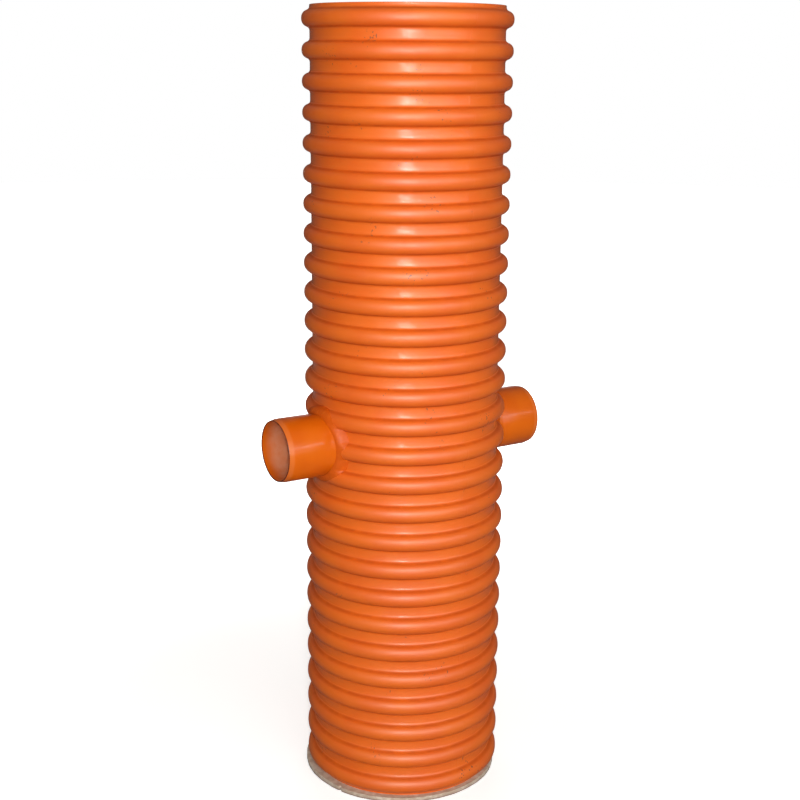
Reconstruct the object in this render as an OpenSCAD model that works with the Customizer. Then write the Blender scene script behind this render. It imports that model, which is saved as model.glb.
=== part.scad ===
// Drain well: a corrugated plastic shaft that stands on a welded sheet base,
// with two pipe stubs through its wall, one on each side.
// Millimetres. Z is the shaft's axis, and Z = 0 is the underside of the base.
// The stubs lie along X: the inlet points to -X and the outlet to +X.

/* [Shaft] */
// Outside diameter over the ridges
ridge_od = 355; // [320:1:480]
// How far the ridges stand out of the grooves between them
ridge_h = 13.5; // [11:0.1:16.2]
// Distance from one ridge to the next
ridge_pitch = 51; // [40:0.5:70]
// Number of ridges
ridge_count = 27; // [20:1:40]
// Radius of the rounded crest of a ridge
crest_r = 13; // [11:0.5:15]
// Flat width between the two roundings of a crest
crest_flat = 2.5; // [2:0.5:10]
// Radius of the hollow rounding at the foot of a ridge
foot_r = 6; // [2:0.5:6]
// Wall thickness, the same in ridge and groove
wall = 6; // [4:0.5:8]
// Straight collar left above the top ridge
top_land = 3; // [2:0.5:40]
// Straight collar left below the bottom ridge
bottom_land = 0.5; // [0.5:0.5:40]

/* [Base plate] */
// How far the plate's radius is larger than the ridges'
plate_margin = 0; // [0:0.5:40]
// Thickness of the plate
plate_t = 8; // [6:1:20]
// How far the plate sits off the shaft's axis
plate_off = 4; // [0:0.5:6]
// Direction of that offset, in degrees from +X towards +Y
plate_off_dir = 146; // [0:1:359]

/* [Pipe stubs] */
// Outside diameter of the pipe
stub_od = 110; // [75:1:160]
// Wall thickness of the pipe
stub_wall = 3.4; // [2.6:0.1:5]
// Height of the inlet's axis above the underside of the base
inlet_z = 641; // [300:1:900]
// Height of the outlet's axis above the underside of the base
outlet_z = 637.5; // [300:1:900]
// How far a stub stands out past the ridges
stub_out = 82.5; // [50:0.5:200]
// How far a stub reaches into the well past the bore of the grooves
stub_in = 8; // [2:0.5:30]
// Length of the chamfer on a stub's outer end
chamfer_l = 10; // [4:0.5:15]
// Depth of that chamfer, measured on the radius
chamfer_d = 2; // [0.5:0.1:2.2]
// Clearance around a stub's scraped root in the hole through the shaft
hole_gap = 0.5; // [0.2:0.1:0.9]
// Depth scraped off a stub's skin where it is welded in
scrape = 0.6; // [0.6:0.1:1]

/* [Stub welds] */
// Width of the weld bead around a stub
weld_w = 12; // [5:0.5:20]
// Height of the weld bead over the ridges
weld_h = 2.5; // [1:0.5:6]

/* [Hidden] */
$fn = 96;

ridge_r = ridge_od/2;
groove_r = ridge_r - ridge_h;
bore_r = groove_r - wall;

// centres of the crest and foot roundings, as [radius, height from the ridge's middle];
// the two circles touch, so crest and foot run into each other smoothly, and in a ridge
// that is higher than both radii together a straight flank joins them
crest_c = [ridge_r - crest_r, crest_flat/2];
foot_lead = max(0, groove_r + foot_r - crest_c[0]);
foot_c = [groove_r + foot_r,
          crest_c[1] + sqrt(pow(crest_r + foot_r, 2) - pow(foot_lead, 2))];
ridge_half = foot_c[1];

plate_r = ridge_r + plate_margin;
shaft_z0 = plate_t;
first_ridge_z = shaft_z0 + bottom_land + ridge_half;
last_ridge_z = first_ridge_z + (ridge_count - 1)*ridge_pitch;
shaft_z1 = last_ridge_z + ridge_half + top_land;

stub_r = stub_od/2;
stub_bore_r = stub_r - stub_wall;
root_r = stub_r - scrape;
hole_r = root_r + hole_gap;
weld_r = ridge_r + weld_h;
stub_x0 = sqrt(pow(bore_r, 2) - pow(stub_r, 2)) - stub_in;
stub_x1 = ridge_r + stub_out;
over = 1; // how far a cutting tool runs past what it cuts

// Half section of one ridge, with its surface moved inwards by depth
module ridge_section(depth) {
  difference() {
    union() {
      for (side = [-1, 1])
        translate([crest_c[0], side*crest_c[1]]) circle(crest_r - depth);
      translate([crest_c[0], -crest_c[1]]) square([crest_r - depth, crest_flat]);
      if (crest_c[0] > foot_c[0])
        translate([foot_c[0], -crest_c[1] - crest_r + depth])
          square([crest_c[0] - foot_c[0], crest_flat + 2*(crest_r - depth)]);
      polygon([[groove_r - depth - over, -foot_c[1]], [foot_c[0], -foot_c[1]],
               [crest_c[0], -crest_c[1]], [crest_c[0], crest_c[1]],
               [foot_c[0], foot_c[1]], [groove_r - depth - over, foot_c[1]]]);
    }
    for (side = [-1, 1])
      translate([foot_c[0], side*foot_c[1]]) circle(foot_r + depth);
  }
}

// Half section of the ridged rod whose surface lies depth inside the shaft's,
// from z0 to z1, with the ridges numbered from first to last
module rod_section(depth, z0, z1, first, last) {
  translate([0, z0]) square([groove_r - depth, z1 - z0]);
  for (i = [first:last])
    translate([0, first_ridge_z + i*ridge_pitch]) ridge_section(depth);
}

// A cylinder from x0 to x1 along the stub axis at height z,
// on the +X side when side is 1 and on the -X side when it is -1
module along_x(side, z, r, x0, x1) {
  translate([side*x0, 0, z]) rotate([0, side*90, 0]) cylinder(r = r, h = x1 - x0);
}

// The blow-formed shaft, open at both ends, with a hole for each stub
module corrugated_shaft() {
  color("#d9703a") difference() {
    rotate_extrude() difference() {
      rod_section(0, shaft_z0, shaft_z1, 0, ridge_count - 1);
      rod_section(wall, shaft_z0 - over, shaft_z1 + over, 0, ridge_count - 1);
    }
    along_x(-1, inlet_z, hole_r, over, stub_x1);
    along_x(1, outlet_z, hole_r, over, stub_x1);
  }
}

// A length of sewer pipe with a chamfered spigot, its root scraped for the weld
module stub(side, z) {
  translate([0, 0, z]) rotate([0, side*90, 0]) rotate_extrude()
    polygon([[stub_bore_r, stub_x0], [root_r, stub_x0], [root_r, weld_r],
             [stub_r, weld_r], [stub_r, stub_x1 - chamfer_l],
             [stub_r - chamfer_d, stub_x1], [stub_bore_r, stub_x1]]);
}

module inlet_stub() color("#de6510") stub(-1, inlet_z);
module outlet_stub() color("#de6510") stub(1, outlet_z);

// A ring of weld bead between a stub's root and the outside of the shaft
module stub_weld(side, z) {
  low = floor((z - root_r - weld_w - first_ridge_z)/ridge_pitch);
  high = ceil((z + root_r + weld_w - first_ridge_z)/ridge_pitch);
  z0 = first_ridge_z + (low - 0.5)*ridge_pitch;
  z1 = first_ridge_z + (high + 0.5)*ridge_pitch;
  difference() {
    intersection() {
      along_x(side, z, root_r + weld_w, stub_x0, stub_x1);
      translate([0, 0, z0]) cylinder(r = weld_r, h = z1 - z0);
    }
    rotate_extrude() rod_section(0, z0 - over, z1 + over, low, high);
    along_x(side, z, root_r, over, stub_x1 + over);
  }
}

module inlet_weld() color("#e2824e") stub_weld(-1, inlet_z);
module outlet_weld() color("#e2824e") stub_weld(1, outlet_z);

// The plate cut from sheet that closes the bottom of the shaft
module base_plate() {
  color("#a89684")
    translate([plate_off*cos(plate_off_dir), plate_off*sin(plate_off_dir), 0])
      cylinder(r = plate_r, h = plate_t);
}

corrugated_shaft();
inlet_stub();
outlet_stub();
inlet_weld();
outlet_weld();
base_plate();
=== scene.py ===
# %% [markdown]
# # A corrugated plastic drain well
#
# The object is an inspection well for drains: a ribbed orange shaft that stands on a disc of
# grey-beige sheet, with a short length of sewer pipe welded through each side.
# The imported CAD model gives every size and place. This script keeps those and gives each piece the
# surface that the real one has. All lengths are in metres, and Z = 0 is the ground.

# %% Load the frame
import math

import bpy
import numpy as np
from mathutils import Euler, Matrix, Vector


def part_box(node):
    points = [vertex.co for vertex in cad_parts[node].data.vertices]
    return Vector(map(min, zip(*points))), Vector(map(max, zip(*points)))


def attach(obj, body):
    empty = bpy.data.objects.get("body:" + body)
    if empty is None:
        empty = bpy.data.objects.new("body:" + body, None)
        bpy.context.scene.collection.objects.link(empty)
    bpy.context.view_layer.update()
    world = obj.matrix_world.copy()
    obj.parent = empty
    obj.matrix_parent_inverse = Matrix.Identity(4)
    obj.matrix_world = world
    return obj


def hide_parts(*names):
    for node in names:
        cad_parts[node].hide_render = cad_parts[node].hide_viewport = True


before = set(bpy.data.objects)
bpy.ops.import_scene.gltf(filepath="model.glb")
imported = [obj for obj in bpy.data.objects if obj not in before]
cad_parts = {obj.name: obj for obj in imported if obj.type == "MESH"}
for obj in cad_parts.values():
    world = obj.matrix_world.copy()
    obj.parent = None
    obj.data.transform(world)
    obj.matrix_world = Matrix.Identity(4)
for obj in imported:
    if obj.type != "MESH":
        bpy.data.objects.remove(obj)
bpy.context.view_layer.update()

# %% [markdown]
# ## Sizes
#
# Sizes that the frame knows are read from it, so a changed CAD model carries through. What the
# frame can't say, such as the radius of a ridge's crest, is a named value in millimetres.

# %% Sizes from the frame
MM = 0.001

shaft_low, shaft_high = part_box("corrugated_shaft")
RIDGE_R = (shaft_high.x - shaft_low.x) / 2
SHAFT_Z0, SHAFT_Z1 = shaft_low.z, shaft_high.z

plate_low, plate_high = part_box("base_plate")
PLATE_R = (plate_high.x - plate_low.x) / 2
PLATE_CENTRE = ((plate_low.x + plate_high.x) / 2, (plate_low.y + plate_high.y) / 2)
PLATE_Z1 = plate_high.z


def stub_facts(node):
    """Side (+1 or -1), axis height, outer radius, inner end and outer end of a pipe stub."""
    low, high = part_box(node)
    side = 1 if low.x + high.x > 0 else -1
    reach = sorted((abs(low.x), abs(high.x)))
    return side, (low.z + high.z) / 2, (high.z - low.z) / 2, reach[0], reach[1]


STUBS = {name: stub_facts(name + "_stub") for name in ("inlet", "outlet")}
STUB_R = STUBS["inlet"][2]
print("ridge radius", round(RIDGE_R, 4), "shaft from", round(SHAFT_Z0, 4), "to", round(SHAFT_Z1, 4))
print("stubs", {name: [round(v, 4) for v in facts] for name, facts in STUBS.items()})

# %% Sizes of the ridges
RIDGE_COUNT = 27
RIDGE_H = 13.5 * MM
CREST_R = 13 * MM
CREST_FLAT = 2.5 * MM
FOOT_R = 6 * MM
WALL = 6 * MM
BOTTOM_LAND = 0.5 * MM
TOP_LAND = 3 * MM

GROOVE_R = RIDGE_R - RIDGE_H
# Centres of the crest's and the foot's arcs, as (radius, height from the ridge's middle). The two
# arcs touch, so the line between their centres is as long as both radii, and it leans by LEAN.
CREST_AT = (RIDGE_R - CREST_R, CREST_FLAT / 2)
FOOT_AT = (
    GROOVE_R + FOOT_R,
    CREST_AT[1] + math.sqrt((CREST_R + FOOT_R) ** 2 - (GROOVE_R + FOOT_R - CREST_AT[0]) ** 2),
)
LEAN = math.atan2(FOOT_AT[0] - CREST_AT[0], FOOT_AT[1] - CREST_AT[1])
FIRST_RIDGE_Z = SHAFT_Z0 + BOTTOM_LAND + FOOT_AT[1]
LAST_RIDGE_Z = SHAFT_Z1 - TOP_LAND - FOOT_AT[1]
RIDGE_PITCH = (LAST_RIDGE_Z - FIRST_RIDGE_Z) / (RIDGE_COUNT - 1)
RIDGE_Z = FIRST_RIDGE_Z + RIDGE_PITCH * np.arange(RIDGE_COUNT)
print("ridge pitch", round(RIDGE_PITCH / MM, 3), "mm, ridge half width", round(FOOT_AT[1] / MM, 2), "mm")

# %% [markdown]
# ## Camera
#
# The well is seen from a little below its rim, from the inlet's side, with a longish lens. The
# camera stands at a distance and azimuth round the shaft, and its aim is given as a pan off the
# shaft's axis, a tilt down and a small roll, as a camera operator would note it.

# %% Camera
CAMERA_DISTANCE = 2.3753
CAMERA_HEIGHT = 1.3015
CAMERA_AZIMUTH = math.radians(-32.197)
CAMERA_PAN = math.radians(-0.208)
CAMERA_TILT = math.radians(14.264)
CAMERA_ROLL = math.radians(0.426)
# The focal length is given in widths of the sensor, and the sensor's width in millimetres
FOCAL_IN_FRAMES = 1.71375
SENSOR = 36


def standing_at(distance, azimuth, height):
    """The place at a distance from the shaft's axis; azimuth 0 is on the -Y side and +90 degrees on +X."""
    return (distance * math.sin(azimuth), -distance * math.cos(azimuth), height)


camera_data = bpy.data.cameras.new("camera")
camera_data.sensor_width = SENSOR
camera_data.lens = FOCAL_IN_FRAMES * SENSOR
camera_data.clip_start, camera_data.clip_end = 0.05, 50
camera = bpy.data.objects.new("camera", camera_data)
camera.location = standing_at(CAMERA_DISTANCE, CAMERA_AZIMUTH, CAMERA_HEIGHT)
aim = Euler((math.pi / 2 - CAMERA_TILT, 0, CAMERA_AZIMUTH - CAMERA_PAN))
camera.rotation_euler = (aim.to_matrix() @ Matrix.Rotation(CAMERA_ROLL, 3, "Z")).to_euler()
bpy.context.scene.collection.objects.link(camera)
bpy.context.scene.camera = camera
print("lens", round(camera_data.lens, 1), "mm")

# %% [markdown]
# ## Making a surface from arrays
#
# Every new piece here is a grid: rows follow an outline and columns follow a turn around an axis.
# Numpy works out all the points at once, and `from_pydata` hands them to Blender. A grid whose
# rows and columns both close on themselves is a shell with no open edge.

# %% Outlines and grids
def arc(centre, radius, start, end, steps):
    """Points of a round stretch: the centre plus the radius times (cosine, sine) of the angle.

    The angle runs evenly from start to end, in degrees, in the given number of steps.
    """
    turn = np.radians(np.linspace(start, end, steps + 1))
    return np.column_stack((centre[0] + radius * np.cos(turn), centre[1] + radius * np.sin(turn)))


def without_doubles(points, near=0.01 * MM):
    """The outline without points that lie on the one before them."""
    step = np.linalg.norm(np.diff(points, axis=0), axis=1)
    return points[np.concatenate(([True], step > near))]


def grid_faces(rows, columns, close_rows=True):
    """Four corners for each cell of a grid numbered row by row and closed across its columns."""
    i = np.arange(rows if close_rows else rows - 1)[:, None]
    j = np.arange(columns)[None, :]
    below, above = i * columns, (i + 1) % rows * columns
    there = (j + 1) % columns
    return np.stack((below + j, below + there, above + there, above + j), -1).reshape(-1, 4).tolist()


def capped_faces(rows, columns):
    """The faces of a grid that is open at its first and last rows, with a flat face over each of those."""
    first = list(range(columns))[::-1]
    last = list(range((rows - 1) * columns, rows * columns))
    return grid_faces(rows, columns, close_rows=False) + [first, last]


def mesh_piece(name, points, faces):
    """An object of the given points and faces, with its place in its mesh."""
    mesh = bpy.data.meshes.new(name)
    mesh.from_pydata(points.reshape(-1, 3).tolist(), [], faces)
    piece = bpy.data.objects.new(name, mesh)
    bpy.context.scene.collection.objects.link(piece)
    return piece


def shade(piece, sharp=35):
    """Smooth shading, apart from edges where the surface turns by more than sharp degrees."""
    piece.data.shade_smooth()
    piece.data.set_sharp_from_angle(angle=math.radians(sharp))
    triangles = sum(len(face.vertices) - 2 for face in piece.data.polygons)
    print(piece.name, triangles, "triangles")


# %% [markdown]
# ## The corrugated shaft
#
# The real shaft is polypropylene, extruded as a tube and sucked against the moving blocks of a
# corrugator while it is still soft. That gives it three marks: ridges with the same wall as the
# grooves, a wall that is out of true by a few tenths of a millimetre, and two fine parting lines
# where the blocks meet, one on each side, about halfway between the stubs.
#
# A Screw modifier could turn the outline, but then the wall couldn't be out of true. So the
# outline is written as arcs, turned by numpy, and each point is then moved in or out a little.

# %% Outline of the shaft
# Steps along the arcs of a crest and of a foot
OUTER_STEPS = (5, 3)
INNER_STEPS = (2, 1)
RIM_ROUND = 0.6 * MM


def ridge_side(depth, crest_steps, foot_steps):
    """All the ridges of one side of the wall, as (radius, height), with the surface moved inwards by depth.

    Each half of a ridge is a hollow arc at the foot that runs smoothly into a full arc at the crest.
    """
    lean = math.degrees(LEAN)
    foot, crest = FOOT_R + depth, CREST_R - depth
    ridge = without_doubles(np.vstack((
        arc((FOOT_AT[0], -FOOT_AT[1]), foot, 180, 90 + lean, foot_steps),
        arc((CREST_AT[0], -CREST_AT[1]), crest, lean - 90, 0, crest_steps),
        arc(CREST_AT, crest, 0, 90 - lean, crest_steps),
        arc(FOOT_AT, foot, -90 - lean, -180, foot_steps),
    )))
    lifts = np.stack((np.zeros(RIDGE_COUNT), RIDGE_Z), -1)
    return (ridge[None] + lifts[:, None]).reshape(-1, 2)


def shaft_outline():
    """The closed outline of the wall: up the outside, over the rim, down the inside."""
    bore = GROOVE_R - WALL
    rim_z = SHAFT_Z1 - RIM_ROUND
    return without_doubles(np.vstack((
        ridge_side(0, *OUTER_STEPS),
        arc((GROOVE_R - RIM_ROUND, rim_z), RIM_ROUND, 0, 90, 2),
        arc((bore + RIM_ROUND, rim_z), RIM_ROUND, 90, 180, 2),
        ridge_side(WALL, *INNER_STEPS)[::-1],
        ((bore, SHAFT_Z0), (GROOVE_R, SHAFT_Z0)),
    )))


outline = shaft_outline()
print("the shaft's outline has", len(outline), "points")

# %% Columns of the shaft
SHAFT_COLUMNS = 120
PARTING_AZIMUTH = math.radians(-84.5)
PARTING_W = 1.8 * MM
PARTING_H = 0.3 * MM

half_line = PARTING_W / 2 / GROOVE_R


def off_parting(angle):
    """Angle from the nearer of the two parting lines, which are half a turn apart.

    It is the angle less the first line's, wrapped into a quarter turn either way, without its sign.
    """
    return np.abs((angle - PARTING_AZIMUTH + math.pi / 2) % math.pi - math.pi / 2)


even = PARTING_AZIMUTH + np.linspace(0, 2 * math.pi, SHAFT_COLUMNS, endpoint=False)
beside_line = half_line * np.array((-2, -1, 0, 1, 2))
angles = np.sort(np.concatenate((
    even[off_parting(even) > half_line],
    PARTING_AZIMUTH + beside_line,
    PARTING_AZIMUTH + math.pi + beside_line,
)))
print("the shaft has", len(angles), "columns, with parting lines", round(PARTING_W / MM, 1), "mm wide")

# %% How the wall is out of true
# Each wave has a height in mm, a number of waves round the shaft, radians a metre along it, and a
# start. The first makes the shaft oval, the next two make it wander, and the last two are ripples.
WALL_WAVES = (
    (0.45, 2, 0.9, 0.6),
    (0.18, 3, -4.3, 0.0),
    (0.10, 7, 9.7, 1.0),
    (0.05, 19, -31.0, 0.0),
    (0.04, 29, 53.0, 2.0),
)


def out_of_true(angle, height):
    """How far the wall stands out of its true place: the sum of its waves.

    A wave is its height times the sine of (its number times the angle, plus its turn along the
    shaft times the height, plus its start).
    """
    return sum(
        size * MM * np.sin(number * angle + along * height + start)
        for size, number, along, start in WALL_WAVES
    )


def surface_r(height):
    """Radius of the shaft's outside at a height, by its distance from the nearest ridge's middle.

    On a crest it is the centre of the crest's arc plus the root of (its radius squared less the
    distance from that centre squared). On a foot it is the centre of the foot's arc less such a
    root, and elsewhere it is the groove's radius.
    """
    nearest = np.clip(np.round((height - FIRST_RIDGE_Z) / RIDGE_PITCH), 0, RIDGE_COUNT - 1)
    away = np.abs(height - FIRST_RIDGE_Z - nearest * RIDGE_PITCH)
    up_crest = np.clip(away - CREST_AT[1], 0, CREST_R)
    up_foot = np.clip(FOOT_AT[1] - away, 0, FOOT_R)
    crest = CREST_AT[0] + np.sqrt(CREST_R**2 - up_crest**2)
    foot = FOOT_AT[0] - np.sqrt(FOOT_R**2 - up_foot**2)
    turn_at = CREST_AT[1] + CREST_R * math.cos(LEAN)
    return np.where(away < turn_at, crest, np.where(away < FOOT_AT[1], foot, GROOVE_R))


# %% The shaft as one closed shell
def turned(outline, angles):
    """An outline of (radius, height) carried round Z: radius times cosine and sine of each angle."""
    radius, height = outline[:, :1], outline[:, 1:]
    flat = np.ones_like(angles)
    return np.stack((radius * np.cos(angles), radius * np.sin(angles), height * flat), -1)


points = turned(outline, angles)
outwards = np.stack((np.cos(angles), np.sin(angles)), -1)[None]
on_outside = np.arange(len(outline)) < np.argmax(outline[:, 1])
line = PARTING_H * np.clip(1 - off_parting(angles) / half_line, 0, 1)
shift = out_of_true(angles, points[..., 2]) + line * on_outside[:, None]
points[..., :2] += outwards * shift[..., None]
print("the wall is out of true by up to", round(np.abs(shift).max() / MM, 2), "mm")
shaft = mesh_piece("corrugated_shaft_wall", points, grid_faces(len(outline), len(angles)))

# %% [markdown]
# A round hole is sawn through the wall for each stub. Its edge runs over crests and grooves, so it
# is cut with a Boolean. The result is worked into the mesh at once, so that the materials and the
# shading see a plain mesh.

# %% Holes for the stubs
SCRAPE = 0.6 * MM
HOLE_GAP = 0.5 * MM
HOLE_COLUMNS = 96
# The saw runs between these two distances from the middle of the well
HOLE_REACH = (120 * MM, 200 * MM)

HOLE_R = STUB_R - SCRAPE + HOLE_GAP


def along_x(side, centre_z, radius, distance, angles):
    """Points at a radius and a distance along a stub's axis, which runs along X at height centre_z.

    The point is (side times distance, radius times cosine, centre_z plus radius times sine). The
    angle turns the other way on the -X side, so that faces keep pointing outwards.
    """
    turn = side * angles
    across, up = radius * np.cos(turn), centre_z + radius * np.sin(turn)
    return np.stack(np.broadcast_arrays(side * distance, across, up), -1)


def cut(piece, cutter):
    """Takes the cutter's space out of a piece, and leaves a plain mesh."""
    modifier = piece.modifiers.new("cut", "BOOLEAN")
    modifier.object, modifier.solver = cutter, "EXACT"
    graph = bpy.context.evaluated_depsgraph_get()
    mesh = bpy.data.meshes.new_from_object(piece.evaluated_get(graph))
    piece.modifiers.remove(modifier)
    piece.data = mesh
    bpy.data.objects.remove(cutter)


hole_turn = np.linspace(0, 2 * math.pi, HOLE_COLUMNS, endpoint=False)
saw_ends = np.array(HOLE_REACH)[:, None]
for side, centre_z, *_ in STUBS.values():
    points = along_x(side, centre_z, HOLE_R, saw_ends, hole_turn)
    cut(shaft, mesh_piece("saw", points, capped_faces(len(saw_ends), HOLE_COLUMNS)))
shade(shaft)
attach(shaft, "root")
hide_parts("corrugated_shaft")

# %% [markdown]
# ## The pipe stubs
#
# Each stub is a length of 110 mm sewer pipe. Its outer end has the long shallow chamfer that
# lets a seal slide over it, and a saw cut with its edges broken. The CAD node has the right size
# but sharp edges, so it is replaced by the same outline with small roundings, turned round X.

# %% Stubs
STUB_WALL = 3.4 * MM
CHAMFER_L = 10 * MM
CHAMFER_D = 2 * MM
STUB_COLUMNS = 128
EDGE_ROUND = 0.5 * MM
SCRAPE_PAST = 2 * MM
LIP = 0.3 * MM
# Points that ease the chamfer's shoulder and its tip, as (off the radius, along the pipe)
SHOULDER_EASED = np.array(((0, -1.5), (-0.1, 0.5))) * MM
TIP_EASED = np.array((0.15, -1.2)) * MM
BORE_RINGS = (4 * MM, 20 * MM)


def stub_outline(inner_end, outer_end):
    """Closed outline of the pipe's wall, as (radius, distance): skin, chamfer, end, then back in.

    The chamfer is straight from shoulder to tip, and both of those are eased by tenths of a
    millimetre. The points along the straight skin and bore keep the shading even there.
    """
    bore = STUB_R - STUB_WALL
    tip = STUB_R - CHAMFER_D
    return without_doubles(np.vstack((
        ((bore, inner_end), (STUB_R - SCRAPE, inner_end), (STUB_R - SCRAPE, RIDGE_R)),
        arc((STUB_R - EDGE_ROUND, RIDGE_R + SCRAPE_PAST), EDGE_ROUND, -90, 0, 2),
        (STUB_R, (RIDGE_R + outer_end) / 2),
        (STUB_R, outer_end - CHAMFER_L) + SHOULDER_EASED,
        (tip, outer_end) + TIP_EASED,
        arc((tip - EDGE_ROUND, outer_end - EDGE_ROUND), EDGE_ROUND, 0, 90, 3),
        arc((bore + EDGE_ROUND, outer_end - EDGE_ROUND), EDGE_ROUND, 90, 180, 3),
        [(bore, outer_end - ring) for ring in BORE_RINGS],
    )))


pipe_turn = np.linspace(0, 2 * math.pi, STUB_COLUMNS, endpoint=False)
stubs = []
for name, (side, centre_z, _, inner_end, outer_end) in STUBS.items():
    outline = stub_outline(inner_end, outer_end)
    points = along_x(side, centre_z, outline[:, :1], outline[:, 1:], pipe_turn)
    stub = mesh_piece(name + "_stub_pipe", points, grid_faces(len(outline), STUB_COLUMNS))
    # One at the cut and one more for each millimetre into the bore, but nought on the outside
    in_bore = (outline[:, 0] < STUB_R - CHAMFER_D - LIP) * (1 + (outer_end - outline[:, 1]) / MM)
    depth = stub.data.attributes.new("bore_depth", "FLOAT", "POINT")
    depth.data.foreach_set("value", np.repeat(in_bore, STUB_COLUMNS))
    shade(stub)
    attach(stub, "root")
    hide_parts(name + "_stub")
    stubs.append(stub)

# %% [markdown]
# ## The weld beads
#
# Each stub is held by a bead of plastic that a hand extruder lays round it. The bead fills the
# corner between the pipe and the shaft, bridges the grooves, and shows the small waves of the
# shoe's stop-and-go movement. A torus with a Displace modifier couldn't follow the ridges, so the
# bead is a grid: one parameter is the turn round the stub, and the other runs across the bead, from
# the pipe out to the shaft, and back underneath.

# %% Weld beads
BEAD_W = 13 * MM
BEAD_RISE = 5 * MM
BEAD_SINK = 2 * MM
BEAD_LAP = 0.3 * MM
BEAD_FOOT = 0.4 * MM
BEAD_ROOT = 2.5 * MM
BEAD_WAVE = 6 * MM
BEAD_WAVE_H = 0.3 * MM
WIDTH_VARIES, RISE_VARIES = 0.07, 0.08
FIRST_PHASE = 1.3
BEAD_COLUMNS = 288
BEAD_ACROSS = 14


def shaft_x(y, z):
    """Distance of the shaft's outside from the YZ plane: the root of radius squared less y squared."""
    radius = surface_r(z) + out_of_true(np.arctan2(y, np.sqrt(RIDGE_R**2 - y**2)), z)
    return np.sqrt(radius**2 - y**2)


def bead_points(centre_z, phase):
    """Rows across the bead and columns round the stub.

    Across the bead, v goes from 0 at the pipe to 1 at the shaft. The bead lies on the crests and
    spans the grooves: its bed is the crests' level times (1 minus v cubed) plus the shaft's surface
    times v cubed. It stands over its bed by its rise times (1 minus v to the power 1.7). It bites
    into the pipe by its lap, its outer edge sinks into the shaft by its foot, and its underside
    lies in the shaft's wall, as deep as its root. Width and rise are 1 plus a few parts in a hundred
    of two slow waves round the stub, which start at the phase, so the two beads differ.
    """
    turn = np.linspace(0, 2 * math.pi, BEAD_COLUMNS, endpoint=False)
    waves = round(2 * math.pi * STUB_R / BEAD_WAVE)
    wave = 0.5 + 0.5 * np.sin(waves * turn + 2 * np.sin(2 * turn + phase))
    lumps = np.sin(3 * turn + phase) + 0.6 * np.sin(7 * turn - 2 * phase)
    width = BEAD_W * (1 + WIDTH_VARIES * lumps)
    rise = BEAD_RISE * (1 + RISE_VARIES * lumps)
    v = np.linspace(0, 1, BEAD_ACROSS)[:, None]
    radius = STUB_R - BEAD_LAP + v * width
    y, z = radius * np.cos(turn), centre_z + radius * np.sin(turn)
    bed = np.sqrt((RIDGE_R - BEAD_SINK) ** 2 - y**2) * (1 - v**3) + shaft_x(y, z) * v**3
    over = rise * (1 - v**1.7) + BEAD_WAVE_H * wave * np.sin(math.pi * v) - BEAD_FOOT * v
    top = np.stack((radius, bed + over), -1)
    under = np.stack((radius - BEAD_LAP, shaft_x(y, z) - BEAD_ROOT), -1)
    return np.concatenate((top[::-1], under)), turn


welds = []
for phase, (name, (side, centre_z, *_)) in enumerate(STUBS.items()):
    section, turn = bead_points(centre_z, FIRST_PHASE + phase)
    points = along_x(side, centre_z, section[..., 0], section[..., 1], turn)
    weld = mesh_piece(name + "_weld_bead", points, grid_faces(len(section), BEAD_COLUMNS))
    shade(weld, sharp=60)
    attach(weld, "root")
    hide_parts(name + "_weld")
    welds.append(weld)

# %% [markdown]
# ## The base plate
#
# The bottom is a disc cut by hand from thick sheet and set a little off the shaft's axis, so that
# it shows as a ledge on one side. Its edge wanders, as a jigsaw leaves it, and a slip of the saw
# has left a small notch at the front. The CAD disc's edge is too true for that, so a short outline
# is turned round Z, and each column is moved inwards by its own amount.

# %% Base plate
PLATE_COLUMNS = 360
PLATE_RING = 30 * MM
EDGE_INSET = 0.75 * MM
# Each wave of the sawn edge has a height in mm, a number of waves round the disc, and a start.
EDGE_WAVES = ((0.35, 5, 1.0), (0.25, 11, 0.0), (0.15, 37, 2.0))
NOTCH_AZIMUTH = math.radians(-160)
NOTCH_W = 7 * MM
NOTCH_D = 5 * MM
EDGE_BREAK = 0.7 * MM


def plate_edge(angle):
    """How far the sawn edge stands inside the true circle, with a V-shaped notch at the front.

    It is the inset less the waves, plus the notch's depth times (1 minus the distance from the
    notch over half its width), where that is more than nought.
    """
    wander = sum(size * MM * np.sin(number * angle + start) for size, number, start in EDGE_WAVES)
    away = np.abs((angle - NOTCH_AZIMUTH + math.pi) % (2 * math.pi) - math.pi) * PLATE_R
    return EDGE_INSET - wander + NOTCH_D * np.clip(1 - away / (NOTCH_W / 2), 0, 1)


plate_turn = np.linspace(-math.pi, math.pi, PLATE_COLUMNS, endpoint=False)
edge = np.array((
    (PLATE_R - PLATE_RING, plate_low.z),
    (PLATE_R - EDGE_BREAK, plate_low.z),
    (PLATE_R, plate_low.z + EDGE_BREAK),
    (PLATE_R, PLATE_Z1 - EDGE_BREAK),
    (PLATE_R - EDGE_BREAK, PLATE_Z1),
    (PLATE_R - PLATE_RING, PLATE_Z1),
))
points = turned(edge, plate_turn)
inwards = np.stack((np.cos(plate_turn), np.sin(plate_turn)), -1) * plate_edge(plate_turn)[:, None]
points[1:-1, :, :2] -= inwards
points[..., :2] += PLATE_CENTRE
plate = mesh_piece("base_plate_disc", points, capped_faces(len(edge), PLATE_COLUMNS))
shade(plate)
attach(plate, "root")
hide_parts("base_plate")

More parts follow.
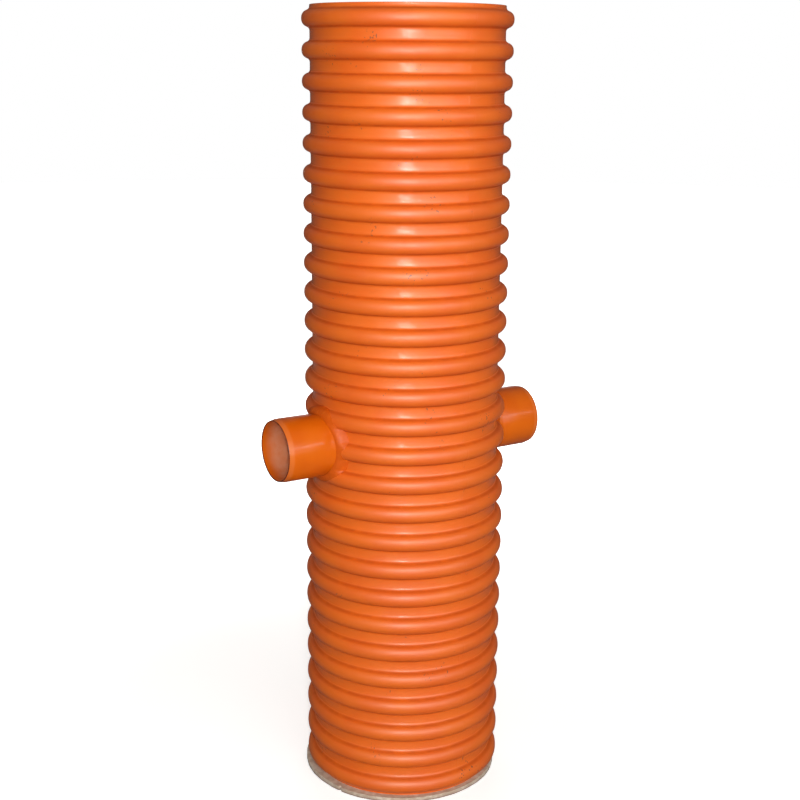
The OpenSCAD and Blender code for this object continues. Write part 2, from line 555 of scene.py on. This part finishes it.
# %% [markdown]
# ## Materials
#
# Each material is a small graph of shader nodes. One function adds a node, sets its properties and
# links its inputs, so that a graph reads like a list of steps. Where sockets share a name they go by
# number: a Math node's values are 0, 1 and 2; a Mix node's factor is 0, its two colours are 6 and 7,
# and the mixed colour comes out of 2; a Map Range node's value is 0, the range it comes from is 1
# and 2, and the range it goes to is 3 and 4, or nought to one where those are left out.
#
# Marks could be painted on by hand, but noise has no seams and no edges, and it can follow the
# ridges by their height. It reads Object coordinates, in metres, so a pattern's scale is one over its
# real size. A Mapping node in front of a pattern draws it out: 1/12 makes it twelve times as long,
# and 2.5 makes it squat.

# %% Helpers for materials
SMOOTH = {"interpolation_type": "SMOOTHSTEP"}
# How strongly polypropylene bends light; every piece of the well is made of it
PLASTIC_IOR = 1.49


def hex_colour(text):
    """Linear red, green, blue and alpha of an sRGB hex colour.

    A channel up to 0.04045 is divided by 12.92. A lighter one has 0.055 added, is divided by 1.055
    and goes to the power 2.4.
    """
    srgb = np.array([int(text[i:i + 2], 16) / 255 for i in (1, 3, 5)])
    linear = np.where(srgb <= 0.04045, srgb / 12.92, ((srgb + 0.055) / 1.055) ** 2.4)
    return (*map(float, linear), 1.0)


def add(tree, kind, inputs=None, out=0, **settings):
    """Adds a node with its settings, and gives its output socket. An input is a value or a socket."""
    node = tree.nodes.new("ShaderNode" + kind)
    for name, value in settings.items():
        setattr(node, name, value)
    for socket, value in (inputs or {}).items():
        if isinstance(value, bpy.types.NodeSocket):
            tree.links.new(value, node.inputs[socket])
        else:
            node.inputs[socket].default_value = value
    return node.outputs[out] if node.outputs else None


def new_material(name):
    """An empty node material and its node tree."""
    material = bpy.data.materials.new(name)
    material.use_nodes = True
    material.node_tree.nodes.clear()
    return material, material.node_tree


def dress(pieces, material):
    """Gives pieces their material, and prints how many nodes it has."""
    for piece in pieces:
        piece.data.materials.append(material)
    print(material.name, len(material.node_tree.nodes), "nodes")


# %% [markdown]
# ### Corrugator-formed polypropylene
#
# The blocks print a fine grain on the skin, so the crests have a soft sheen. It is drawn at 2.2 mm,
# coarser than blocks would leave it, because a finer one wouldn't show. In the grooves fine rings
# run round the shaft. They are too fine to show one by one, but they draw a lamp's reflection out
# into a short upright streak. Yard dust lies in the grooves, painted shade darkens the flanks, where a
# ridge turns down into its groove, and a splash here and there has left specks of grit.

# %% Shaft material
# The flank's distance from the middle of its ridge, how far its painted shade fades, and where gloss is
# full
FLANK_AT = 14.3 * MM
FLANK_W = 3.5 * MM
GLOSSY_PAST = 4 * MM


def shaft_material():
    """Orange polypropylene, mottled, with dust in the grooves, painted shade on the flanks and a little
    grit.

    The distance from the nearest ridge is the height above the lowest one, wrapped into half a
    pitch either way, without its sign. The flank is where that is near FLANK_AT.
    """
    material, tree = new_material("polypropylene_corrugator_formed")
    place = add(tree, "TexCoord", out="Object")
    squat = add(tree, "Mapping", {"Vector": place, "Scale": (1, 1, 2.5)})
    cloudy = add(tree, "TexNoise", {"Vector": squat, "Scale": 1 / (22 * MM), "Detail": 5})

    # Where on a ridge a point lies
    height = add(tree, "SeparateXYZ", {"Vector": place}, out="Z")
    away = add(tree, "Math", {0: height, 1: FIRST_RIDGE_Z}, operation="SUBTRACT")
    away = add(tree, "Math", {0: away, 1: RIDGE_PITCH / 2, 2: -RIDGE_PITCH / 2}, operation="WRAP")
    away = add(tree, "Math", {0: away}, operation="ABSOLUTE")
    in_groove = add(tree, "MapRange", {0: away, 1: FLANK_AT, 2: FOOT_AT[1]}, **SMOOTH)
    off_flank = add(tree, "Math", {0: away, 1: FLANK_AT}, operation="SUBTRACT")
    off_flank = add(tree, "Math", {0: off_flank}, operation="ABSOLUTE")
    flank_shade_mask = add(tree, "MapRange", {0: off_flank, 1: 0.0, 2: FLANK_W, 3: 1.0, 4: 0.0}, **SMOOTH)

    # Mottled plastic, then dust, painted shade on the flanks and grit over it
    mottle = add(tree, "TexNoise", {"Vector": place, "Scale": 1 / (90 * MM), "Detail": 4})
    mottle = add(tree, "MapRange", {0: mottle, 1: 0.35, 2: 0.65}, **SMOOTH)
    plastic = {0: mottle, 6: hex_colour("#DE5E05"), 7: hex_colour("#E26608")}
    colour = add(tree, "Mix", plastic, out=2, data_type="RGBA")
    dust = add(tree, "MapRange", {0: cloudy, 1: 0.35, 2: 0.7, 3: 0.1, 4: 0.45}, **SMOOTH)
    dust = add(tree, "Math", {0: in_groove, 1: dust}, operation="MULTIPLY")
    colour = add(tree, "Mix", {0: dust, 6: colour, 7: hex_colour("#DE6A14")}, out=2, data_type="RGBA")
    # Painted shade: the flanks are darkened unevenly, where a ridge turns down into its groove
    painted_flank_shade = add(tree, "MapRange", {0: cloudy, 1: 0.3, 2: 0.6, 3: 0.35, 4: 0.7}, **SMOOTH)
    painted_flank_shade = add(tree, "Math", {0: flank_shade_mask, 1: painted_flank_shade}, operation="MULTIPLY")
    colour = add(tree, "Mix", {0: painted_flank_shade, 6: colour, 7: hex_colour("#B84804")}, out=2, data_type="RGBA")
    specks = add(tree, "TexNoise", {"Vector": place, "Scale": 1 / (4 * MM), "Detail": 0})
    specks = add(tree, "MapRange", {0: specks, 1: 0.7, 2: 0.78}, **SMOOTH)
    splash = add(tree, "TexNoise", {"Vector": place, "Scale": 1 / (60 * MM), "Detail": 1})
    splash = add(tree, "MapRange", {0: splash, 1: 0.64, 2: 0.72}, **SMOOTH)
    grit = add(tree, "Math", {0: specks, 1: splash}, operation="MULTIPLY")
    colour = add(tree, "Mix", {0: grit, 6: colour, 7: hex_colour("#8A4A2C")}, out=2, data_type="RGBA")

    # The blocks' grain all over, and rings over it in the grooves, which are smoother too
    grain = add(tree, "TexNoise", {"Vector": place, "Scale": 1 / (2.2 * MM), "Detail": 2})
    skin = add(tree, "Bump", {"Height": grain, "Strength": 0.25, "Distance": 0.15 * MM})
    rings = add(tree, "Mapping", {"Vector": place, "Scale": (1 / 800, 1 / 800, 1)})
    rings = add(tree, "TexNoise", {"Vector": rings, "Scale": 1 / (0.35 * MM), "Detail": 1})
    ringed = {"Height": rings, "Strength": in_groove, "Distance": 0.16 * MM, "Normal": skin}
    skin = add(tree, "Bump", ringed)
    roughness = add(tree, "MapRange", {0: cloudy, 1: 0.3, 2: 0.7, 3: 0.54, 4: 0.6}, **SMOOTH)
    smoothed = add(tree, "MapRange", {0: in_groove, 1: 0.0, 2: 1.0, 3: 0.44, 4: 0.21}, **SMOOTH)
    gloss = add(tree, "TexNoise", {"Vector": squat, "Scale": 1 / (40 * MM), "Detail": 2})
    gloss = add(tree, "MapRange", {0: gloss, 1: 0.35, 2: 0.65, 3: 0.7, 4: 1.0}, **SMOOTH)
    clean = add(tree, "MapRange", {0: off_flank, 1: 0.0, 2: GLOSSY_PAST}, **SMOOTH)
    gloss = add(tree, "Math", {0: gloss, 1: clean}, operation="MULTIPLY")
    shader = add(tree, "BsdfPrincipled", {
        "Base Color": colour, "Roughness": roughness, "IOR": PLASTIC_IOR, "Normal": skin,
        "Specular IOR Level": 0.8, "Specular Tint": hex_colour("#FFECD6"),
        "Coat Weight": gloss, "Coat Roughness": smoothed, "Coat IOR": PLASTIC_IOR, "Coat Normal": skin,
    })
    add(tree, "OutputMaterial", {"Surface": shader})
    return material


dress([shaft], shaft_material())

# %% [markdown]
# ### Extruded polypropylene pipe
#
# Sewer pipe is drawn through a polished die, so it is a purer orange and glossier than the shaft,
# with faint lines along it. A painted sheen makes its chamfer a little paler, and painted shade darkens
# the cut and the lip just inside it. Dust lies in the bore. How deep a point lies there is an attribute of
# the mesh: one at the cut, one more for each millimetre inwards, and nought on the outside.

# %% Stub material
# The painted shade at the cut sets in this far before the cut, and is full this far before it
CUT_SHADE = (1.3 * MM, 0.5 * MM)
# The chamfer's painted sheen sets in this far before its shoulder, and is full this far past it
CHAMFER_SHEEN_EDGE = (1.5 * MM, 2.5 * MM)
# Depths, as the attribute has them, where dust and the lip's painted shade set in, and that shade ends
DUST_STARTS = (4.0, 30.0)
LIP_SHADE_STARTS = (0.1, 0.4)
LIP_SHADE_ENDS = (1.8, 3.6)


def stub_material(outer_end):
    """Glossy orange pipe with a painted sheen on the chamfer, painted shade at the cut and a dusty bore.

    The distance from the middle of the well is X without its sign, so one material serves both
    stubs. Everything on the outside is placed by that distance, and everything in the bore by depth.
    """
    material, tree = new_material("polypropylene_extruded_pipe")
    place = add(tree, "TexCoord", out="Object")
    depth = add(tree, "Attribute", out="Fac", attribute_name="bore_depth")
    along = add(tree, "SeparateXYZ", {"Vector": place}, out="X")
    along = add(tree, "Math", {0: along}, operation="ABSOLUTE")

    # Mottled plastic, then dust in the bore and painted shade on the lip just inside the cut
    mottle = add(tree, "TexNoise", {"Vector": place, "Scale": 1 / (60 * MM), "Detail": 3})
    mottle = add(tree, "MapRange", {0: mottle, 1: 0.35, 2: 0.65}, **SMOOTH)
    plastic = {0: mottle, 6: hex_colour("#CC5A03"), 7: hex_colour("#D26206")}
    colour = add(tree, "Mix", plastic, out=2, data_type="RGBA")
    cloudy = add(tree, "TexNoise", {"Vector": place, "Scale": 1 / (16 * MM), "Detail": 4})
    cloudy = add(tree, "MapRange", {0: cloudy, 1: 0.3, 2: 0.7, 3: 0.6, 4: 0.95}, **SMOOTH)
    deep = add(tree, "MapRange", {0: depth, 1: DUST_STARTS[0], 2: DUST_STARTS[1]}, **SMOOTH)
    dust = add(tree, "Math", {0: deep, 1: cloudy}, operation="MULTIPLY")
    colour = add(tree, "Mix", {0: dust, 6: colour, 7: hex_colour("#D48A66")}, out=2, data_type="RGBA")
    # Painted shade: the bore just inside the cut is darkened
    in_bore = add(tree, "MapRange", {0: depth, 1: LIP_SHADE_STARTS[0], 2: LIP_SHADE_STARTS[1]}, **SMOOTH)
    lip_shade_fade = {0: depth, 1: LIP_SHADE_ENDS[0], 2: LIP_SHADE_ENDS[1], 3: 1.0, 4: 0.0}
    lip_shade_fade = add(tree, "MapRange", lip_shade_fade, **SMOOTH)
    painted_lip_shade = add(tree, "Math", {0: in_bore, 1: lip_shade_fade}, operation="MULTIPLY")
    colour = add(tree, "Mix", {0: painted_lip_shade, 6: colour, 7: hex_colour("#6B2A22")}, out=2, data_type="RGBA")

    # The chamfer's painted sheen, a paler colour that eases in over its shoulder, and painted shade at the
    # cut
    shoulder = outer_end - CHAMFER_L
    # Painted sheen: the chamfer is made paler
    eased = {0: along, 1: shoulder - CHAMFER_SHEEN_EDGE[0], 2: shoulder + CHAMFER_SHEEN_EDGE[1], 3: 0.0, 4: 0.22}
    painted_chamfer_sheen = add(tree, "MapRange", eased, **SMOOTH)
    outside = add(tree, "MapRange", {0: depth, 1: 0.0, 2: 0.5, 3: 1.0, 4: 0.0}, **SMOOTH)
    painted_chamfer_sheen = add(tree, "Math", {0: painted_chamfer_sheen, 1: outside}, operation="MULTIPLY")
    colour = add(tree, "Mix", {0: painted_chamfer_sheen, 6: colour, 7: hex_colour("#E08A50")}, out=2, data_type="RGBA")
    # Painted shade: a dark ring round the cut end
    painted_cut_shade = add(tree, "MapRange", {0: along, 1: outer_end - CUT_SHADE[0], 2: outer_end - CUT_SHADE[1]}, **SMOOTH)
    colour = add(tree, "Mix", {0: painted_cut_shade, 6: colour, 7: hex_colour("#5E2212")}, out=2, data_type="RGBA")

    # Lines from drawing, twelve times as long as they are wide
    drawn = add(tree, "Mapping", {"Vector": place, "Scale": (1 / 12, 1, 1)})
    drawn = add(tree, "TexNoise", {"Vector": drawn, "Scale": 1 / (2.5 * MM), "Detail": 2})
    skin = add(tree, "Bump", {"Height": drawn, "Strength": 0.15, "Distance": 0.1 * MM})
    shader = add(tree, "BsdfPrincipled", {
        "Base Color": colour, "Roughness": 0.45, "IOR": PLASTIC_IOR, "Normal": skin,
        "Specular IOR Level": 0.1,
        "Coat Weight": 0.7, "Coat Roughness": 0.2, "Coat IOR": PLASTIC_IOR,
    })
    add(tree, "OutputMaterial", {"Surface": shader})
    return material


dress(stubs, stub_material(STUBS["inlet"][4]))

# %% [markdown]
# ### Hand-extruded polypropylene bead
#
# The bead sets in the open air behind the extruder's shoe, so it is duller than the pipe. Where the
# shoe smeared it over the scraped plastic it is a little paler and uneven.

# %% Weld material
def weld_material():
    """Dull orange bead: one noise both mottles the colour and lifts the smears."""
    material, tree = new_material("polypropylene_weld_bead")
    place = add(tree, "TexCoord", out="Object")
    smear = add(tree, "TexNoise", {"Vector": place, "Scale": 1 / (9 * MM), "Detail": 4})
    paler = add(tree, "MapRange", {0: smear, 1: 0.5, 2: 0.7}, **SMOOTH)
    plastic = {0: paler, 6: hex_colour("#C85403"), 7: hex_colour("#D05C08")}
    colour = add(tree, "Mix", plastic, out=2, data_type="RGBA")
    skin = add(tree, "Bump", {"Height": smear, "Strength": 0.4, "Distance": 0.6 * MM})
    shader = add(tree, "BsdfPrincipled", {
        "Base Color": colour, "Roughness": 0.55, "IOR": PLASTIC_IOR, "Normal": skin,
        "Specular IOR Level": 0.3,
        "Coat Weight": 0.05, "Coat Roughness": 0.25, "Coat IOR": PLASTIC_IOR, "Coat Normal": skin,
    })
    add(tree, "OutputMaterial", {"Surface": shader})
    return material


dress(welds, weld_material())

# %% [markdown]
# ### Sawn polypropylene sheet
#
# The plate is cut from grey-beige sheet. The jigsaw leaves upright chatter marks on its edge, and
# painted shade darkens the lowest few millimetres, where the plate meets the ground.

# %% Plate material
# Heights over which the painted shade near the ground fades out
GROUND_SHADE_FADES = (0.5 * MM, 5 * MM)


def plate_material():
    """Matt grey-beige sheet with upright saw marks, and painted shade near the ground."""
    material, tree = new_material("polypropylene_sheet_sawn")
    place = add(tree, "TexCoord", out="Object")
    blotch = add(tree, "TexNoise", {"Vector": place, "Scale": 1 / (14 * MM), "Detail": 4})
    blotch = add(tree, "MapRange", {0: blotch, 1: 0.35, 2: 0.65}, **SMOOTH)
    plastic = {0: blotch, 6: hex_colour("#BAA692"), 7: hex_colour("#D4C6B4")}
    colour = add(tree, "Mix", plastic, out=2, data_type="RGBA")
    height = add(tree, "SeparateXYZ", {"Vector": place}, out="Z")
    # Painted shade: darker in the lowest few millimetres, where the plate meets the ground
    low = {0: height, 1: GROUND_SHADE_FADES[0], 2: GROUND_SHADE_FADES[1], 3: 0.75, 4: 0.0}
    low = add(tree, "MapRange", low, **SMOOTH)
    colour = add(tree, "Mix", {0: low, 6: colour, 7: hex_colour("#7A5A55")}, out=2, data_type="RGBA")
    saw = add(tree, "Mapping", {"Vector": place, "Scale": (1, 1, 1 / 20)})
    saw = add(tree, "TexNoise", {"Vector": saw, "Scale": 1 / (1.4 * MM), "Detail": 1})
    skin = add(tree, "Bump", {"Height": saw, "Strength": 0.5, "Distance": 0.3 * MM})
    shader = add(tree, "BsdfPrincipled", {
        "Base Color": colour, "Roughness": 0.62, "IOR": PLASTIC_IOR, "Normal": skin,
    })
    add(tree, "OutputMaterial", {"Surface": shader})
    return material


dress([plate], plate_material())

# %% [markdown]
# ## Floor and world
#
# The floor and the world look white to the camera, through glass, and to a reflection that meets
# the white sweep low down behind the well. To every other ray the world is a dim room with a broad,
# soft glow in front of the well, so the white itself puts no light on the object. The floor keeps
# the shadow close to the well.

# %% White backdrop
SWEEP_HALF_WIDTH = math.radians(8)
SWEEP_FULL, SWEEP_TOP = 0.1, 0.25


def seen_white(tree, direction):
    """How much of the backdrop's white a ray sees, from its direction or its place on the floor.

    It is one for rays from the camera and through glass. For a reflection it is one where the white
    sweep hangs, low down behind the well, and nought elsewhere. It is always nought for light on
    the object.
    """
    level = add(tree, "VectorMath", {0: direction, 1: (1, 1, 0)}, operation="MULTIPLY")
    level = add(tree, "VectorMath", {0: level}, operation="NORMALIZE")
    behind = {0: level, 1: standing_at(-1, CAMERA_AZIMUTH, 0)}
    behind = add(tree, "VectorMath", behind, out="Value", operation="DOT_PRODUCT")
    side_edge = {0: behind, 1: math.cos(SWEEP_HALF_WIDTH), 2: math.cos(SWEEP_HALF_WIDTH / 2)}
    on_sweep = add(tree, "MapRange", side_edge, **SMOOTH)
    rise = add(tree, "SeparateXYZ", {"Vector": direction}, out="Z")
    low = add(tree, "MapRange", {0: rise, 1: SWEEP_FULL, 2: SWEEP_TOP, 3: 1.0, 4: 0.0}, **SMOOTH)
    on_sweep = add(tree, "Math", {0: on_sweep, 1: low}, operation="MULTIPLY")
    path = add(tree, "LightPath").node.outputs
    mirrored = add(tree, "Math", {0: path["Is Glossy Ray"], 1: on_sweep}, operation="MULTIPLY")
    direct = {0: path["Is Camera Ray"], 1: path["Is Transmission Ray"]}
    direct = add(tree, "Math", direct, operation="MAXIMUM")
    return add(tree, "Math", {0: direct, 1: mirrored}, operation="MAXIMUM")


# %% Floor
FLOOR_R = 12
FLOOR_SIDES = 64
FLOOR_DROP = 0.2 * MM
SHADOW_R = (0.5, 1.5)
SHADOW_LIFT = 0.5


def floor_material():
    """Pale matt paint with a white glow over it, which is weaker near the well, where the shadow is."""
    material, tree = new_material("painted_floor_matt")
    place = add(tree, "TexCoord", out="Object")
    white = seen_white(tree, place)
    far = add(tree, "VectorMath", {0: place}, out="Value", operation="LENGTH")
    fade = add(tree, "MapRange", {0: far, 1: SHADOW_R[0], 2: SHADOW_R[1]}, **SMOOTH)
    lift = add(tree, "MapRange", {0: fade, 1: 0.0, 2: 1.0, 3: SHADOW_LIFT, 4: 1.0}, **SMOOTH)
    strength = add(tree, "Math", {0: lift, 1: white}, operation="MULTIPLY")
    paint = {0: white, 6: hex_colour("#787878"), 7: hex_colour("#F2F2F0")}
    paint = add(tree, "Mix", paint, out=2, data_type="RGBA")
    matt = add(tree, "BsdfDiffuse", {"Color": paint})
    glow = add(tree, "Emission", {"Color": (1, 1, 1, 1), "Strength": strength})
    add(tree, "OutputMaterial", {"Surface": add(tree, "AddShader", {0: matt, 1: glow})})
    return material


floor_turn = np.linspace(0, 2 * math.pi, FLOOR_SIDES, endpoint=False)
floor_ring = np.stack((FLOOR_R * np.cos(floor_turn), FLOOR_R * np.sin(floor_turn), 0 * floor_turn), -1)
floor = mesh_piece("floor", floor_ring - (0, 0, FLOOR_DROP), [list(range(FLOOR_SIDES))])
dress([floor], floor_material())

# %% World
AMBIENT_LOW = 0.08
AMBIENT_HIGH = 0.14
CEILING_FROM, CEILING_FULL = 0.0, 0.6
GLOW = 2.7
GLOW_AZIMUTH = math.radians(-16)
GLOW_RISE = math.radians(2)
GLOW_SPREAD = math.radians(55)

world = bpy.data.worlds.new("studio")
bpy.context.scene.world = world
world.use_nodes = True
world.node_tree.nodes.clear()
tree = world.node_tree
direction = add(tree, "TexCoord", out="Generated")
white = seen_white(tree, direction)

# The dim room, lighter towards its ceiling, and the glow in front of the well
up = add(tree, "SeparateXYZ", {"Vector": direction}, out="Z")
ceiling = {0: up, 1: CEILING_FROM, 2: CEILING_FULL, 3: AMBIENT_LOW, 4: AMBIENT_HIGH}
ambient = add(tree, "MapRange", ceiling, **SMOOTH)
glow_at = standing_at(math.cos(GLOW_RISE), GLOW_AZIMUTH, math.sin(GLOW_RISE))
near_glow = {0: direction, 1: glow_at}
near_glow = add(tree, "VectorMath", near_glow, out="Value", operation="DOT_PRODUCT")
glow = {0: near_glow, 1: math.cos(GLOW_SPREAD), 2: 1.0, 3: 0.0, 4: GLOW}
glow = add(tree, "MapRange", glow, **SMOOTH)
ambient = add(tree, "Math", {0: ambient, 1: glow}, operation="ADD")

# White where the backdrop is seen, and the room elsewhere
strength = add(tree, "MapRange", {0: white, 1: 0.0, 2: 1.0, 3: ambient, 4: 1.0}, **SMOOTH)
tone = {0: white, 6: hex_colour("#FFF8F2"), 7: (1, 1, 1, 1)}
tone = add(tree, "Mix", tone, out=2, data_type="RGBA")
sky = add(tree, "Background", {"Color": tone, "Strength": strength})
add(tree, "OutputWorld", {"Surface": sky})
print("world", len(tree.nodes), "nodes")

# %% [markdown]
# ## Lamps
#
# Most of the light comes from the front: a flash and a narrow upright strip beside the camera give
# the fine streak down the well, and the world's broad glow gives the wide sheen around it. A lamp
# as wide as that glow would show its edges in the plastic. Soft lamps to the left, the right and
# the back fill in the flanks. They are hidden from reflections where they would draw a second
# streak.

# %% Lamps
def lamp(name, watts, size, distance, azimuth, height, aim_height, mirrored):
    """A rectangular lamp that faces the shaft's axis at a height, and may show in reflections."""
    data = bpy.data.lights.new(name, "AREA")
    data.energy, data.shape = watts, "RECTANGLE"
    data.size, data.size_y = size
    item = bpy.data.objects.new(name, data)
    item.location = standing_at(distance, math.radians(azimuth), height)
    drop = math.atan2(height - aim_height, distance)
    item.rotation_euler = (math.pi / 2 - drop, 0, math.radians(azimuth))
    item.visible_glossy = mirrored
    bpy.context.scene.collection.objects.link(item)
    print(name, watts, "W")


# Name, watts, width and height, distance, azimuth, height, height it is aimed at, in reflections.
lamp("flash", 23.5, (0.12, 0.5), 2.3, -31.5, 1.30, 1.35, True)
lamp("strip", 3.5, (0.03, 1.1), 2.3, -31.5, 0.85, 0.85, True)
lamp("fill", 4, (2.0, 1.2), 3.0, -16, 0.90, 0.90, False)
lamp("left", 9, (1.5, 1.5), 3.0, -100, 1.10, 1.10, False)
lamp("side", 8, (2.0, 0.2), 3.0, 24, 1.50, 0.80, True)
lamp("back", 52, (2.4, 1.2), 3.0, 150, 0.80, 0.80, False)

# %% [markdown]
# ## Finish
#
# Colours go out through the Standard view, which shows them as they are written.

# %% Finish
bpy.context.scene.view_settings.view_transform = "Standard"
